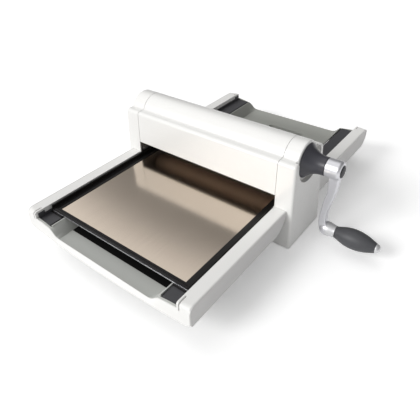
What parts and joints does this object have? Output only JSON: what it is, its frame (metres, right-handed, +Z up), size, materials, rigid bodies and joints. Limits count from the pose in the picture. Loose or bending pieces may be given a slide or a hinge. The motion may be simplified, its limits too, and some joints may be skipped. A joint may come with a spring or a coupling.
{
  "type": "manual die cutting machine",
  "caption": "Manual die cutting machine: roller housing with side crank, front and rear trays, and a steel topped platform that is wound through between two rollers.",
  "frame": {"origin": "on the ground under the middle of the machine, between the two cheeks and under the roller axes", "axes": "+X towards the crank side, +Y towards the rear, +Z up; the platform travels along Y"},
  "size_m": [0.5413, 0.645, 0.1939],
  "materials": {
    "white_shell": "smooth satin gloss moulding",
    "tray_white": "fine satin moulding",
    "rail_panel_grey": "satin",
    "grey_insert": "satin grey green",
    "dark_floor": "matte",
    "runner_grey": "matte",
    "frame_steel": "zinc plated sheet",
    "bush_bronze": "sintered bronze",
    "foot_rubber": "matte",
    "screw_steel": "zinc plated",
    "sheet_steel": "brushed",
    "platform_black": "satin black",
    "plate_steel": "brushed, warm tone",
    "roller_steel": "ground",
    "gear_steel": "machined",
    "bell_dark": "satin dark grey",
    "trim_black": "satin",
    "arm_silver": "satin",
    "spindle_steel": "turned",
    "grip_dark": "satin dark grey"
  },
  "bodies": {
    "base": {"top_cover": "white_shell", "right_cheek": "white_shell", "left_cheek": "white_shell", "front_lower_panel": "white_shell", "rear_lower_panel": "white_shell", "front_tray": "tray_white", "rear_tray": "tray_white", "front_scoop": "grey_insert", "rear_scoop": "grey_insert", "front_floor": "dark_floor", "rear_floor": "grey_insert", "front_right_rail_panel": "rail_panel_grey", "front_left_rail_panel": "rail_panel_grey", "rear_right_rail_panel": "rail_panel_grey", "rear_left_rail_panel": "rail_panel_grey", "front_right_runner": "runner_grey", "front_left_runner": "runner_grey", "rear_right_runner": "runner_grey", "rear_left_runner": "runner_grey", "front_tray_brackets": "frame_steel", "rear_tray_brackets": "frame_steel", "right_side_plate": "frame_steel", "left_side_plate": "frame_steel", "roller_bushes": "bush_bronze", "crank_bracket": "frame_steel", "crank_bushes": "bush_bronze", "tie_bars": "frame_steel", "base_pan": "frame_steel", "rubber_feet": "foot_rubber", "frame_screws": "screw_steel", "cheek_screws": "screw_steel", "cover_screws": "screw_steel", "foot_screws": "screw_steel", "tray_screws": "screw_steel"},
    "platform": {"platform_base": "platform_black", "platform_sheet": "sheet_steel", "platform_frame": "platform_black", "platform_plate": "plate_steel"},
    "lower_roller": {"lower_roller": "roller_steel", "lower_roller_clips": "screw_steel", "lower_sync_gear": "gear_steel"},
    "upper_roller": {"upper_roller": "roller_steel", "upper_roller_clips": "screw_steel", "upper_sync_gear": "gear_steel", "drive_gear": "gear_steel"},
    "crank": {"crank_shaft": "roller_steel", "shaft_collar": "roller_steel", "crank_pinion": "gear_steel", "crank_bell": "bell_dark", "neck_ring": "trim_black", "crank_arm": "arm_silver", "hub_plug": "trim_black", "grip_ferrule": "arm_silver", "grip_spindle": "spindle_steel"},
    "grip": {"grip": "grip_dark", "grip_cap": "arm_silver"}
  },
  "joints": [
    {"name": "platform_slide", "type": "slide", "parent": "base", "child": "platform", "axis": [0, 1, 0], "range_m": [-0.022, 0.26]},
    {"name": "lower_roller_turn", "type": "hinge", "parent": "base", "child": "lower_roller", "pos_m": [0, 0, 0.046], "axis": [1, 0, 0], "range_deg": [-740, 65]},
    {"name": "upper_roller_turn", "type": "hinge", "parent": "base", "child": "upper_roller", "pos_m": [0, 0, 0.116], "axis": [1, 0, 0], "range_deg": [-65, 740]},
    {"name": "crank_turn", "type": "hinge", "parent": "base", "child": "crank", "pos_m": [0.2, 0, 0.158], "axis": [1, 0, 0], "range_deg": [-1480, 130]},
    {"name": "grip_spin", "type": "hinge", "parent": "crank", "child": "grip", "pos_m": [0.29, 0, 0.032], "axis": [1, 0, 0], "continuous": true}
  ],
  "couplings": [
    {"joint": "lower_roller_turn", "follows": "platform_slide", "rad_per_m": -49.505},
    {"joint": "upper_roller_turn", "follows": "platform_slide", "rad_per_m": 49.505},
    {"joint": "crank_turn", "follows": "platform_slide", "rad_per_m": -99.01}
  ]
}
